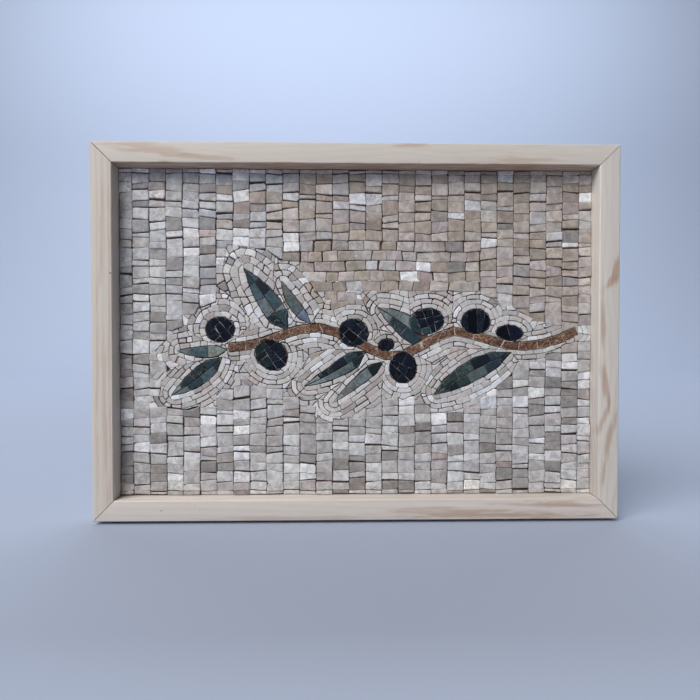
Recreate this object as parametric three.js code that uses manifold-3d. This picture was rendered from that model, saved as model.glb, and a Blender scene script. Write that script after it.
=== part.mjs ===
// A framed stone mosaic of an olive sprig, made to hang on a wall.
//
// Millimetres, +Z up, +X to the right, and the picture faces -Y. The origin is the middle of the flat
// back, where it touches the wall, so a depth below is a distance out from the wall, along -Y.
// Four mitred pine rails hold a plywood board. A skim of adhesive covers the board, and the stones sit
// in it: the olives, leaves and branch, a field of thin outline stones round them, and the plain ground,
// laid in upright columns and, above the sprig, in level rows.

import * as THREE from "three";
import { mergeVertices } from "three/addons/utils/BufferGeometryUtils.js";
import Module from "manifold-3d";

const wasm = await Module();
wasm.setup();

// Frame
const WIDTH = 315;
const HEIGHT = 225;
const RAIL_FACE = 12.5;
const RAIL_DEPTH = 22;
const MITRE_GAP = 0.3;

// Layers behind the picture
const BOARD_THICKNESS = 4;
const ADHESIVE_THICKNESS = 1.2;
const LAYER_GAP = 0.3;
const EDGE_GAP = 0.3;

// Stones
const STONE_THICKNESS = 6;
const LEVEL_SPREAD = 0.35;
const LEAST_STEP = 0.1;
const JOINT = 0.35;
const STONE_WIDTH = 9.8;
const STONE_HEIGHT = 5.8;
const HEIGHT_SPREAD = 0.3;
const CUT_SLANT = 0.45;
const LEAST_EDGE_WIDTH = 6;
const EDGE_STONE_HEIGHT = 2.4;
const CONTACT_DEPTH = 3;
const ROW_CONTACT_DEPTH = 1.5;
const COLUMN_BLOCKS = 6;
const LEAST_PIECE_VOLUME = 120;
const SMALLEST_DETAIL = 0.03;
const OVERCUT = 1;

// The sprig fits between these margins of the opening, and its outline is laid in courses this wide
const SPRIG_LEFT_MARGIN = 31;
const SPRIG_RIGHT_MARGIN = 8.5;
const OUTLINE_COURSE = 3.3;
const OUTLINE_COURSES = 3;
const BRANCH_WIDTH = 5;
const BRANCH_STEPS = 20;
const OUTLINE_STEPS = 12;
const OUTLINE_TAPER = 0.2;
const OUTLINE_END = 0.96;

// The sprig as drawn: x from the tip of the leftmost leaf, z from the picture's middle. It is scaled
// to fit between its margins. Olives are ovals, and leaves run from base to tip, each with its widest
// place at a share of its length.
const BRANCH_LINE = [
  [35, -9], [52, -7], [67, -1.5], [88, 3.3], [106, -1.5], [124, -11], [138, -15],
  [154, -7.5], [174, 1], [192, -3.5], [212, -8.3], [232, -6], [250, 1.2],
];
const OLIVES = [
  { at: [30, 2], across: 9, up: 7.9, turn: 0 },
  { at: [61, -13.5], across: 10.8, up: 9, turn: -35 },
  { at: [111.5, 0], across: 9.2, up: 8.7, turn: 0 },
  { at: [131.5, -7.5], across: 5, up: 3.6, turn: 15 },
  { at: [142, -21.5], across: 8.6, up: 9.8, turn: 0 },
  { at: [156.5, 7], across: 11, up: 8, turn: 8 },
  { at: [187, 7], across: 9.2, up: 7.8, turn: 0 },
  { at: [208, 0], across: 8.6, up: 4.8, turn: -5 },
];
const LEAVES = [
  { base: [71, 1.5], tip: [44.5, 39.5], width: 13, widest: 0.34, bend: -0.5, rows: 2, courses: 5 },
  { base: [85, 5.5], tip: [67.5, 31.5], width: 6.5, widest: 0.42, bend: 1.5, rows: 1 },
  { base: [34, -10.5], tip: [4, -11], width: 7, widest: 0.36, bend: 1, rows: 1, courses: 4 },
  { base: [31, -15], tip: [0, -38.5], width: 10.5, widest: 0.4, bend: 1, rows: 2 },
  { base: [119, -11.5], tip: [81, -33], width: 10, widest: 0.28, bend: 1.2, rows: 2 },
  { base: [130, -17.5], tip: [98, -44], width: 6.5, widest: 0.26, bend: -0.5, rows: 1, courses: 4 },
  { base: [158, -7], tip: [126.5, 15.5], width: 14, widest: 0.34, bend: -1, rows: 2 },
  { base: [209, -12], tip: [160.5, -38.5], width: 13, widest: 0.46, bend: -1.5, rows: 2 },
];
const OLIVE_SIDES = 10;
const LEAF_STEPS = 5;
const LEAF_FULLNESS = 0.75;
const MIDDLE = 0.5;
const OUTLINE_FULLNESS = 0.5;
const ZONE_SIDES = 8;

// The level rows above the sprig, in the sprig's own drawing
const ROWS_LEFT = 70;
const ROWS_RIGHT = 193;
const ROWS_TOP = 56;
const ROWS_BOTTOM = 14;
const ROW_STAGGER = [0.9, 0.5];
const ROW_SPREAD = 0.15;

const openingWidth = WIDTH - 2 * RAIL_FACE;
const openingHeight = HEIGHT - 2 * RAIL_FACE;
const fieldWidth = openingWidth - 2 * EDGE_GAP;
const fieldHeight = openingHeight - 2 * EDGE_GAP;
const adhesiveBack = BOARD_THICKNESS + LAYER_GAP;
const stoneBack = adhesiveBack + ADHESIVE_THICKNESS + LAYER_GAP;
const stoneFace = stoneBack + STONE_THICKNESS;
const sprigLength = openingWidth - SPRIG_LEFT_MARGIN - SPRIG_RIGHT_MARGIN;
const drawnLength = Math.max(...BRANCH_LINE.map(([x]) => x));
const sprigScale = sprigLength / drawnLength;
const cutBack = stoneBack - OVERCUT;
const cutFront = stoneFace + LEVEL_SPREAD + 2 * LEAST_STEP + OVERCUT;

// Every course has its own number: a column its place from the left, with this much added above the
// level rows, and a level row its place from the top, with this much added
const RUN_NUMBERS = 100;
const ROW_NUMBERS = 300;

// A repeatable number from 0 to 1 for each course, stone and use
function scatter(course, stone, use) {
  const wave = Math.sin(course * 127.1 + stone * 311.7 + use * 74.7) * 43758.5453;
  return wave - Math.floor(wave);
}

function place([x, z]) {
  return new THREE.Vector2(x * sprigScale - openingWidth / 2 + SPRIG_LEFT_MARGIN, z * sprigScale);
}

// Solids

function prism(points, back, front) {
  return new THREE.ExtrudeGeometry(new THREE.Shape(points), { depth: front - back, bevelEnabled: false })
    .rotateX(Math.PI / 2)
    .translate(0, -back, 0);
}

function solidOf(geometry) {
  const bare = geometry.clone();
  bare.deleteAttribute("normal");
  bare.deleteAttribute("uv");
  const merged = mergeVertices(bare, 1e-4);
  return new wasm.Manifold(new wasm.Mesh({
    numProp: 3,
    vertProperties: new Float32Array(merged.attributes.position.array),
    triVerts: new Uint32Array(merged.index.array),
  }));
}

function geometryOf(solid) {
  const { vertProperties, triVerts } = solid.getMesh();
  const geometry = new THREE.BufferGeometry();
  geometry.setAttribute("position", new THREE.BufferAttribute(new Float32Array(vertProperties), 3));
  geometry.setIndex(new THREE.BufferAttribute(new Uint32Array(triVerts), 1));
  return geometry.toNonIndexed();
}

function joined(solids) {
  return wasm.Manifold.union(solids);
}

// The pieces of a solid that are large enough to be a stone, the largest first
function piecesOf(solid) {
  return solid.asOriginal().simplify(SMALLEST_DETAIL).decompose()
    .filter((piece) => piece.volume() > LEAST_PIECE_VOLUME)
    .sort((a, b) => b.volume() - a.volume());
}

// Outlines of the sprig, grown by a margin where a joint or the outline field needs room

function oliveOutline({ at, across, up, turn }, margin = 0, sides = OLIVE_SIDES) {
  const centre = place(at);
  const oval = new THREE.EllipseCurve(
    centre.x, centre.y, across * sprigScale + margin, up * sprigScale + margin,
    0, 2 * Math.PI, false, THREE.MathUtils.degToRad(turn),
  );
  return oval.getPoints(sides).slice(0, sides);
}

// A leaf's outline between two edges, each a distance from the midrib at a share of its length
function leafBetween({ base, tip, bend }, margin, right, left) {
  const from = place(base);
  const along = place(tip).sub(from);
  const length = along.length() + 2 * margin;
  along.normalize();
  const across = new THREE.Vector2(-along.y, along.x);
  const at = (share, reach) => from.clone()
    .addScaledVector(along, share * length - margin)
    .addScaledVector(across, bend * sprigScale * 4 * share * (1 - share) + reach);
  const shares = Array.from({ length: LEAF_STEPS + 1 }, (_, i) => i / LEAF_STEPS);
  const edges = [
    ...shares.map((share) => at(share, right(share))),
    ...shares.reverse().map((share) => at(share, left(share))),
  ];
  return edges.filter((point, i) => point.distanceTo(edges.at(i - 1)) > 1e-6);
}

function leafOutline(leaf, margin = 0, fullness = LEAF_FULLNESS, widest = leaf.widest) {
  const shift = Math.log(MIDDLE) / Math.log(widest);
  const reach = (leaf.width / 2) * sprigScale + margin;
  const half = (share) => reach * Math.sin(Math.PI * share ** shift) ** fullness;
  return leafBetween(leaf, margin, (share) => -half(share), half);
}

// The joint along the midrib of a leaf that is set in two rows
function midribOutline(leaf) {
  return leafBetween(leaf, JOINT, () => -JOINT / 2, () => JOINT / 2);
}

const branchCurve = new THREE.CatmullRomCurve3(
  BRANCH_LINE.map(place).map(({ x, y }) => new THREE.Vector3(x, y, 0)), false, "centripetal",
);

// A band along the branch from one share of its length to another, which can taper to the tip
function branchOutline(margin = 0, steps = BRANCH_STEPS, end = 1, taper = 0) {
  const sides = [1, -1].map((side) => Array.from({ length: steps + 1 }, (_, i) => {
    const share = (end * i) / steps;
    const { x, y } = branchCurve.getPointAt(share);
    const run = branchCurve.getTangentAt(share);
    const half = BRANCH_WIDTH / 2 + margin * Math.min(1, taper ? (1 - share) / taper : 1);
    return new THREE.Vector2(x - side * run.y * half, y + side * run.x * half);
  }));
  return [...sides[0], ...sides[1].reverse()];
}

// The outline field's outer edge: ovals round the olives, wide lenses round the leaves, and a band
// along the branch that tapers towards its tip
function zoneOutlines(margin) {
  const courseWidth = (courses = OUTLINE_COURSES) => courses * OUTLINE_COURSE + margin;
  return [
    ...OLIVES.map((olive) => oliveOutline(olive, courseWidth(), ZONE_SIDES)),
    ...LEAVES.map((leaf) => leafOutline(leaf, courseWidth(leaf.courses), OUTLINE_FULLNESS, MIDDLE)),
    branchOutline(courseWidth(), OUTLINE_STEPS, OUTLINE_END, OUTLINE_TAPER),
  ];
}

const field = [[-1, -1], [1, -1], [1, 1], [-1, 1]]
  .map(([x, z]) => new THREE.Vector2((x * fieldWidth) / 2, (z * fieldHeight) / 2));

// The outline field from back to front, without the islands of ground its outlines leave between them
function zoneSolid(margin, back, front) {
  const block = solidOf(prism(field, back, front));
  const outlines = zoneOutlines(margin).map((outline) => (
    solidOf(prism(outline, back - OVERCUT, front + OVERCUT))
  ));
  const [outside] = piecesOf(block.subtract(joined(outlines)));
  return block.subtract(outside);
}

// One straight course of ground stones as a single solid, with a step where one stone ends and the
// next begins. An upright course runs up from the first cut and is placed by its left side, and a
// level one runs to the right and is placed by its top.
function course(number, upright, side, width, cuts) {
  const levels = [];
  for (let i = 0; i < cuts.length - 1; i++) {
    let level = stoneFace + LEVEL_SPREAD * (2 * scatter(number, i, 1) - 1);
    if (i > 0 && Math.abs(level - levels[i - 1]) < LEAST_STEP) level += 2 * LEAST_STEP;
    levels.push(level);
  }
  const last = cuts.length - 1;
  const profile = [new THREE.Vector2(-stoneBack, cuts[last]), new THREE.Vector2(-stoneBack, cuts[0])];
  levels.forEach((level, i) => {
    profile.push(new THREE.Vector2(-level, cuts[i]), new THREE.Vector2(-level, cuts[i + 1]));
  });
  const geometry = new THREE.ExtrudeGeometry(new THREE.Shape(profile), { depth: width, bevelEnabled: false });
  const spot = geometry.getAttribute("position");
  for (let i = 0; i < spot.count; i++) {
    const cut = cuts.findIndex((value) => Math.abs(value - spot.getY(i)) < 1e-3);
    const slant = cut > 0 && cut < last ? CUT_SLANT * (2 * scatter(number, cut, 2) - 1) : 0;
    spot.setY(i, spot.getY(i) + slant * (spot.getZ(i) > 0 ? 1 : -1));
  }
  const turn = upright
    ? new THREE.Matrix4().makeBasis(
      new THREE.Vector3(0, 1, 0), new THREE.Vector3(0, 0, 1), new THREE.Vector3(1, 0, 0))
    : new THREE.Matrix4().makeBasis(
      new THREE.Vector3(0, 1, 0), new THREE.Vector3(1, 0, 0), new THREE.Vector3(0, 0, -1));
  turn.setPosition(upright ? side : 0, 0, upright ? 0 : side);
  return solidOf(geometry.applyMatrix4(turn));
}

// Where the stones of a course meet, from start to end
function cutsOf(number, start, end, size, spread) {
  const count = Math.max(1, Math.round((end - start) / size));
  const even = (end - start) / count;
  return Array.from({ length: count + 1 }, (_, i) => {
    const shift = i > 0 && i < count ? even * spread * (2 * scatter(number, i, 3) - 1) : 0;
    return start + i * even + shift;
  });
}

// Sprig: the olives lie over the branch, and both over the leaves

function sprigPieces() {
  const slab = (outline) => solidOf(prism(outline, stoneBack, stoneFace));
  const cutter = (outline) => solidOf(prism(outline, cutBack, cutFront));
  const olives = OLIVES.map((olive, i) => ({ name: `olive_${i + 1}`, solid: slab(oliveOutline(olive)) }));
  const oliveRoom = OLIVES.map((olive) => cutter(oliveOutline(olive, JOINT)));
  const branchRoom = cutter(branchOutline(JOINT));
  const branch = piecesOf(slab(branchOutline()).subtract(joined(oliveRoom)))
    .sort((a, b) => a.boundingBox().min[0] - b.boundingBox().min[0])
    .map((solid, i) => ({ name: `branch_${i + 1}`, solid }));
  const taken = [...oliveRoom, branchRoom];
  const leaves = LEAVES.flatMap((leaf, i) => {
    const [whole] = piecesOf(slab(leafOutline(leaf)).subtract(joined(taken)));
    taken.push(cutter(leafOutline(leaf, JOINT)));
    if (leaf.rows === 1) return [{ name: `leaf_${i + 1}`, solid: whole }];
    return piecesOf(whole.subtract(cutter(midribOutline(leaf))))
      .sort((a, b) => b.boundingBox().max[2] - a.boundingBox().max[2])
      .map((solid, row) => ({ name: `leaf_${i + 1}_row_${row + 1}`, solid }));
  });
  return { pieces: [...olives, ...branch, ...leaves], room: joined(taken) };
}

const sprig = sprigPieces();

// Ground

const columnPitch = STONE_WIDTH + JOINT;
const fullColumns = Math.floor((fieldWidth - 2 * (LEAST_EDGE_WIDTH + JOINT)) / columnPitch);
const edgeWidth = (fieldWidth - fullColumns * columnPitch - JOINT) / 2;
const columns = Array.from({ length: fullColumns + 2 }, (_, i) => {
  const start = i === 0 ? -fieldWidth / 2 : -fieldWidth / 2 + edgeWidth + JOINT + (i - 1) * columnPitch;
  const width = i === 0 || i === fullColumns + 1 ? edgeWidth : STONE_WIDTH;
  return { number: i, start, width };
});
const rowsLeft = place([ROWS_LEFT, 0]).x;
const rowsRight = place([ROWS_RIGHT, 0]).x;
const rowsTop = place([0, ROWS_TOP]).y;
const rowPitch = STONE_HEIGHT + JOINT;
const rowCount = Math.ceil((rowsTop - place([0, ROWS_BOTTOM]).y) / rowPitch);
const rowsBottom = rowsTop - rowCount * rowPitch + JOINT;
const zoneCut = joined([zoneSolid(JOINT, cutBack, cutFront), sprig.room]);
const overRows = columns.filter(({ start, width }) => start > rowsLeft && start + width < rowsRight);
const rowsStart = overRows[0].start;
const rowsEnd = overRows.at(-1).start + overRows.at(-1).width;

// A column begins and ends with a thin stone along the rail, and stops for the level rows
function columnSolids({ number, start, width }) {
  const top = fieldHeight / 2;
  const inner = top - EDGE_STONE_HEIGHT;
  const between = (from, to, run) => (
    cutsOf(number + RUN_NUMBERS * run, from, to, STONE_HEIGHT, HEIGHT_SPREAD)
  );
  const runs = start >= rowsStart && start < rowsEnd
    ? [[-top, ...between(-inner, rowsBottom - JOINT, 0)], [...between(rowsTop + JOINT, inner, 1), top]]
    : [[-top, ...between(-inner, inner, 0), top]];
  return runs.map((cuts, run) => course(number + RUN_NUMBERS * run, true, start, width, cuts));
}

// The thin stones of neighbouring columns touch low down, which holds a block of columns together
function edgeContact(set) {
  const from = set[0].start + set[0].width / 2;
  const to = set.at(-1).start + set.at(-1).width / 2;
  return [1, -1].map((side) => solidOf(
    new THREE.BoxGeometry(to - from, CONTACT_DEPTH, EDGE_STONE_HEIGHT).translate(
      (from + to) / 2, -stoneBack - CONTACT_DEPTH / 2, side * (fieldHeight - EDGE_STONE_HEIGHT) / 2,
    ),
  ));
}

// Names for the pieces of one block, the first of each plain and the rest numbered
function named(pieces, nameOf) {
  const used = {};
  return pieces.map((solid) => {
    const name = nameOf(solid);
    used[name] = (used[name] ?? 0) + 1;
    return { name: used[name] > 1 ? `${name}_${used[name]}` : name, solid };
  });
}

// Blocks of columns side by side. The sprig parts the middle ones into an upper and a lower ground.
function groundBlocks() {
  const firstOf = (block) => Math.round((block * columns.length) / COLUMN_BLOCKS);
  return Array.from({ length: COLUMN_BLOCKS }, (_, i) => {
    const set = columns.slice(firstOf(i), firstOf(i + 1));
    const whole = joined([...set.flatMap(columnSolids), ...edgeContact(set)]);
    return named(piecesOf(whole.subtract(zoneCut)), (piece) => {
      const { min, max } = piece.boundingBox();
      if (max[2] - min[2] > fieldHeight - 2 * EDGE_STONE_HEIGHT) return `side_ground_${i + 1}`;
      return `${min[2] + max[2] > 0 ? "upper" : "lower"}_ground_${i + 1}`;
    });
  }).flat();
}

// The level rows, whose stones touch low down too, one below the other
function groundRows() {
  const rows = Array.from({ length: rowCount }, (_, i) => {
    const number = ROW_NUMBERS + i;
    const firstEnd = rowsStart + STONE_WIDTH * ROW_STAGGER[i % ROW_STAGGER.length];
    const cuts = [rowsStart, ...cutsOf(number, firstEnd, rowsEnd, STONE_WIDTH, ROW_SPREAD)];
    return course(number, false, rowsTop - i * rowPitch, STONE_HEIGHT, cuts);
  });
  const contact = new THREE.BoxGeometry(rowsEnd - rowsStart, ROW_CONTACT_DEPTH, rowsTop - rowsBottom)
    .translate(
      (rowsStart + rowsEnd) / 2, -stoneBack - ROW_CONTACT_DEPTH / 2, (rowsTop + rowsBottom) / 2,
    );
  return named(piecesOf(joined([...rows, solidOf(contact)]).subtract(zoneCut)), () => "level_rows");
}

// Frame: mitred rails

function rail(corners) {
  return prism(corners.map(([x, z]) => new THREE.Vector2(x, z)), 0, RAIL_DEPTH);
}

function railPieces() {
  const [w, h, face] = [WIDTH / 2, HEIGHT / 2, RAIL_FACE];
  const slip = MITRE_GAP / Math.SQRT2;
  const level = [[-w + slip, h], [-w + face + slip, h - face], [w - face - slip, h - face], [w - slip, h]];
  const upright = [
    [-w, h - slip], [-w, -h + slip], [-w + face, -h + face + slip], [-w + face, h - face - slip],
  ];
  return [
    ["top_rail", rail(level)],
    ["bottom_rail", rail(level.map(([x, z]) => [-x, -z]))],
    ["left_rail", rail(upright)],
    ["right_rail", rail(upright.map(([x, z]) => [-x, -z]))],
  ];
}

// Materials

const pine = new THREE.MeshStandardMaterial({ color: 0xd9c6ad, roughness: 0.65, metalness: 0 });
const plywood = new THREE.MeshStandardMaterial({ color: 0xb89468, roughness: 0.75, metalness: 0 });
const adhesive = new THREE.MeshStandardMaterial({ color: 0x6b5f54, roughness: 0.95, metalness: 0 });
const groundStone = new THREE.MeshStandardMaterial({ color: 0xb3a596, roughness: 0.6, metalness: 0 });
const outlineStone = new THREE.MeshStandardMaterial({ color: 0xcfc8bd, roughness: 0.6, metalness: 0 });
const oliveStone = new THREE.MeshStandardMaterial({ color: 0x10131c, roughness: 0.45, metalness: 0 });
const leafStone = new THREE.MeshStandardMaterial({ color: 0x2e4747, roughness: 0.5, metalness: 0 });
const branchStone = new THREE.MeshStandardMaterial({ color: 0x8a5230, roughness: 0.65, metalness: 0 });

// Assembly

const panel = new THREE.Group();

function add(name, geometry, material) {
  const mesh = new THREE.Mesh(geometry, material);
  mesh.name = name;
  panel.add(mesh);
  return mesh;
}

railPieces().forEach(([name, geometry]) => add(name, geometry, pine));

const board = add("backing_board", new THREE.BoxGeometry(fieldWidth, BOARD_THICKNESS, fieldHeight), plywood);
board.position.y = -BOARD_THICKNESS / 2;
const bed = add("adhesive_bed", new THREE.BoxGeometry(fieldWidth, ADHESIVE_THICKNESS, fieldHeight), adhesive);
bed.position.y = -adhesiveBack - ADHESIVE_THICKNESS / 2;

const sprigFinish = { olive: oliveStone, branch: branchStone, leaf: leafStone };
sprig.pieces.forEach(({ name, solid }) => add(name, geometryOf(solid), sprigFinish[name.split("_")[0]]));

piecesOf(zoneSolid(0, stoneBack, stoneFace).subtract(sprig.room))
  .forEach((solid, i) => add(`outline_field_${i + 1}`, geometryOf(solid), outlineStone));

[...groundBlocks(), ...groundRows()].forEach(({ name, solid }) => add(name, geometryOf(solid), groundStone));

export default panel;
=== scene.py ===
# %% [markdown]
# # A framed stone mosaic of an olive sprig
#
# The object is a small panel to hang up: hand-cut marble set on a board, inside a plain pine frame.
# The packed model already has every solid at its real size. This lesson dresses it: each fused block
# of stones is divided into single stones, the stones get colour and veins, and the frame gets grain.

# %% Load the packed panel
import math

import bpy
import numpy as np
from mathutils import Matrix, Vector
from mathutils.kdtree import KDTree


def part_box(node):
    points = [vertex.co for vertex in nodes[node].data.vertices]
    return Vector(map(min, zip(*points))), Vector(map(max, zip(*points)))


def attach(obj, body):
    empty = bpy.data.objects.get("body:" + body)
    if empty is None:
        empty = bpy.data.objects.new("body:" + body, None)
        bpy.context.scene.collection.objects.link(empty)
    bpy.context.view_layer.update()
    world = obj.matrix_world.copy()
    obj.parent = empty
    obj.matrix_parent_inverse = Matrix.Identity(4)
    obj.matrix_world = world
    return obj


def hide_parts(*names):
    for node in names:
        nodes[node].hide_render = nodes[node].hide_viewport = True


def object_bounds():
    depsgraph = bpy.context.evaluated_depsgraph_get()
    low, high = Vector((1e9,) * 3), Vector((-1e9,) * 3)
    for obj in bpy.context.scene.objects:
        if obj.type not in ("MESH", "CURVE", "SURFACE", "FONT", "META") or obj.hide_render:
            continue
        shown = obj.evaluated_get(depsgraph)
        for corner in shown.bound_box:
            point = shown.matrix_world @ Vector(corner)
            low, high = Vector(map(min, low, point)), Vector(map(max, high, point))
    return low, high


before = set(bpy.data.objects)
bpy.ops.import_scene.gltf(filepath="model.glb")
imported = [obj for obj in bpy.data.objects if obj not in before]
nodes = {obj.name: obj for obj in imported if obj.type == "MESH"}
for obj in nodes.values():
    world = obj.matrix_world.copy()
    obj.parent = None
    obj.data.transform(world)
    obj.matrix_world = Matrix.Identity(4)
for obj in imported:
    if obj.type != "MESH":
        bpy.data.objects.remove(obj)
cad_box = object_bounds()
MM = 0.001
print("nodes:", len(nodes))

# %% [markdown]
# ## The camera
#
# The photograph was taken from straight in front, about a third of a metre away, a little left of the
# middle. A wide lens that close is what makes the inner sides of all four rails visible.

# %% Place the camera
EYE = Vector((-0.0109, -0.3353, -0.0052))
AIM = Vector((-0.0047, -0.022, -0.0104))

scene = bpy.context.scene
camera = bpy.data.objects.new("camera", bpy.data.cameras.new("camera"))
scene.collection.objects.link(camera)
camera.data.lens = 27.05
camera.data.clip_start = 0.01
camera.location = EYE
camera.rotation_euler = (AIM - EYE).to_track_quat("-Z", "Y").to_euler()
scene.camera = camera
scene.view_settings.view_transform = "Standard"
print("camera distance:", round((AIM - EYE).length, 3), "m")

# %% [markdown]
# ## Room and light
#
# A studio sweep is one sheet that runs along the floor and curves up into a backdrop, so there is no
# line where they meet. It is a line in section, drawn out to both sides.

# %% Make the sweep
FLOOR = cad_box[0][2] - 0.002
BACKDROP = 2.6
CURVE = 1.2
CURVE_STEPS = 16
PAPER_REACH = 9.0
PAPER_TOP = 6.0


def linear(red, green, blue):
    """A colour given as screen values from 0 to 255, as the light values a shader needs"""
    share = np.array([red, green, blue]) / 255
    return np.where(share <= 0.04045, share / 12.92, ((share + 0.055) / 1.055) ** 2.4)


def opaque(red, green, blue):
    """The same, with the fourth value that a shader's colour has"""
    return (*linear(red, green, blue), 1)


def new_object(name, points, faces, material):
    """An object in the scene, from points in metres"""
    mesh = bpy.data.meshes.new(name)
    mesh.from_pydata([tuple(point) for point in points], [], faces)
    mesh.materials.append(material)
    made = bpy.data.objects.new(name, mesh)
    scene.collection.objects.link(made)
    return made


def sweep():
    steps = [math.pi / 2 * i / CURVE_STEPS for i in range(CURVE_STEPS + 1)]
    line = [(-PAPER_REACH, FLOOR)]
    line += [(BACKDROP - CURVE + CURVE * math.sin(a), FLOOR + CURVE - CURVE * math.cos(a)) for a in steps]
    line.append((BACKDROP, PAPER_TOP))
    points = [(x, y, z) for y, z in line for x in (-PAPER_REACH, PAPER_REACH)]
    faces = [(2 * i, 2 * i + 1, 2 * i + 3, 2 * i + 2) for i in range(len(line) - 1)]
    paper = bpy.data.materials.new("pale_paper")
    paper.use_nodes = True
    shader = paper.node_tree.nodes["Principled BSDF"]
    shader.inputs["Base Color"].default_value = opaque(168, 178, 198)
    shader.inputs["Roughness"].default_value = 0.9
    made = new_object("sweep", points, faces, paper)
    for face in made.data.polygons:
        face.use_smooth = True
    return made


backdrop = sweep()
print("sweep:", len(backdrop.data.polygons), "faces, floor at", round(FLOOR, 4), "m")

# %% [markdown]
# The daylight in the photograph is soft and comes from above and the left, which leaves the underside
# of the top rail dark and lights the bottom one. A large area light does the same. A second one lights
# the backdrop, and a faint even light stands for what the room gives back.

# %% Make the lights
ROOM_LIGHT = 0.055


def area_light(name, at, to, size, power, colour):
    data = bpy.data.lights.new(name, "AREA")
    data.shape = "RECTANGLE"
    data.size, data.size_y = size
    data.energy = power
    data.color = colour
    light = bpy.data.objects.new(name, data)
    light.location = at
    light.rotation_euler = (Vector(to) - Vector(at)).to_track_quat("-Z", "Y").to_euler()
    light.visible_camera = False
    scene.collection.objects.link(light)


area_light("window", at=(-1.76, -2.32, 2.64), to=(0, 0, 0), size=(2.9, 2.7), power=168,
           colour=(1, 0.99, 0.985))
area_light("backdrop", at=(0, 1.3, 2.2), to=(0, 2.4, 0.3), size=(3.6, 0.8), power=54,
           colour=(0.88, 0.94, 1))
world = bpy.data.worlds.new("room")
world.use_nodes = True
world.node_tree.nodes["Background"].inputs["Color"].default_value = (1, 0.96, 0.92, 1)
world.node_tree.nodes["Background"].inputs["Strength"].default_value = ROOM_LIGHT
scene.world = world
print("lights:", [light.name for light in bpy.data.lights])

# %% [markdown]
# ## Building a finish from nodes
#
# Every finish here is a small tree of shader nodes. One helper adds a node, sets its values and links
# its inputs, so that a finish reads as a short list of what happens to the colour.

# %% A helper for shader nodes


class Finish:
    """A material whose nodes are added one by one"""

    def __init__(self, name):
        self.material = bpy.data.materials.new(name)
        self.material.use_nodes = True
        self.tree = self.material.node_tree
        self.shader = self.tree.nodes["Principled BSDF"]
        self.spot = self.add("TexCoord", {}).outputs["Object"]

    def set(self, node, sockets):
        for key, value in sockets.items():
            if isinstance(value, bpy.types.NodeSocket):
                self.tree.links.new(value, node.inputs[key])
            else:
                node.inputs[key].default_value = value

    def add(self, kind, sockets, **settings):
        node = self.tree.nodes.new("ShaderNode" + kind)
        for key, value in settings.items():
            setattr(node, key, value)
        self.set(node, sockets)
        return node

    def math(self, operation, *values):
        return self.add("Math", dict(enumerate(values)), operation=operation).outputs[0]

    def place(self, x, y, z):
        return self.add("CombineXYZ", {0: x, 1: y, 2: z}).outputs[0]

    def noise(self, place, scale, detail=3.0, roughness=0.55, distortion=0.0):
        sockets = {"Vector": place, "Scale": scale, "Detail": detail, "Roughness": roughness,
                   "Distortion": distortion}
        return self.add("TexNoise", sockets).outputs["Fac"]

    def between(self, value, low, high, to_low=0.0, to_high=1.0):
        sockets = {"Value": value, "From Min": low, "From Max": high, "To Min": to_low, "To Max": to_high}
        return self.add("MapRange", sockets, interpolation_type="SMOOTHSTEP").outputs["Result"]

    def mix(self, share, first, second, blend="MIX"):
        sockets = {0: share, 6: first, 7: second}
        return self.add("Mix", sockets, data_type="RGBA", blend_type=blend).outputs[2]

    def shaded(self, colour, shade):
        """The colour made darker or lighter, by a shade round 1"""
        grey = self.add("CombineColor", {0: shade, 1: shade, 2: shade}).outputs[0]
        return self.mix(1.0, colour, grey, "MULTIPLY")

    def bump(self, height, strength, distance):
        sockets = {"Height": height, "Strength": strength, "Distance": distance}
        self.set(self.shader, {"Normal": self.add("Bump", sockets).outputs["Normal"]})


print("steps of a finish:", [step for step in vars(Finish) if not step.startswith("_")])

# %% [markdown]
# ## Pine
#
# The rails are bare pine. Growth rings are cylinders round the middle of the tree, so a board shows
# straight lines where it is cut along them, and pointed arches where it is cut at a slant. The finish
# therefore measures the distance from a tree axis that leans a little against the rail, bends it with
# noise, and turns it into bands. That keeps the front, the sides and the ends of a rail in agreement.

# %% Measure the growth rings
RING_WIDTH = 0.0033
SIDE_BEND = 0.012
DEEP_BEND = 0.01


def stretched(wood, along, across, deep, long_scale, wide_scale, seed):
    """The place on a rail, drawn out along the grain"""
    return wood.place(wood.math("MULTIPLY_ADD", along, long_scale, seed),
                      wood.math("MULTIPLY", across, wide_scale),
                      wood.math("MULTIPLY_ADD", deep, wide_scale, seed))


def late_wood(wood, along, across, deep, bent, axis, lean):
    """How dark a growth ring is: 0 in its early wood, 1 in its late wood"""
    wave = wood.math("SUBTRACT", wood.noise(bent, 1.3, 2.0), 0.5)
    slant = wood.math("MULTIPLY_ADD", along, lean, axis[0])
    x = wood.math("ADD", wood.math("SUBTRACT", across, slant), wood.math("MULTIPLY", wave, SIDE_BEND))
    y = wood.math("ADD", wood.math("SUBTRACT", deep, axis[1]), wood.math("MULTIPLY", wave, DEEP_BEND))
    squares = wood.math("ADD", wood.math("MULTIPLY", x, x), wood.math("MULTIPLY", y, y))
    ring = wood.math("FRACT", wood.math("DIVIDE", wood.math("SQRT", squares), RING_WIDTH))
    return wood.math("MULTIPLY", wood.between(ring, 0.35, 0.9), wood.between(ring, 1.0, 0.9))


print("growth rings:", round(RING_WIDTH / MM, 1), "mm apart")

# %% [markdown]
# Over the rings lie broad streaks of reddish heartwood, and here and there a dark speck. Each is a long
# oval, placed on the panel's face, with an edge that noise frays along the grain. The same colour also
# paints shade: one band along the top rail's inner edge darkens that rail's underside. Last come the
# fibres, which shade the colour, the gloss and the bump alike.

# %% The pine finish
LATE_WOOD = opaque(196, 171, 148)
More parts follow.
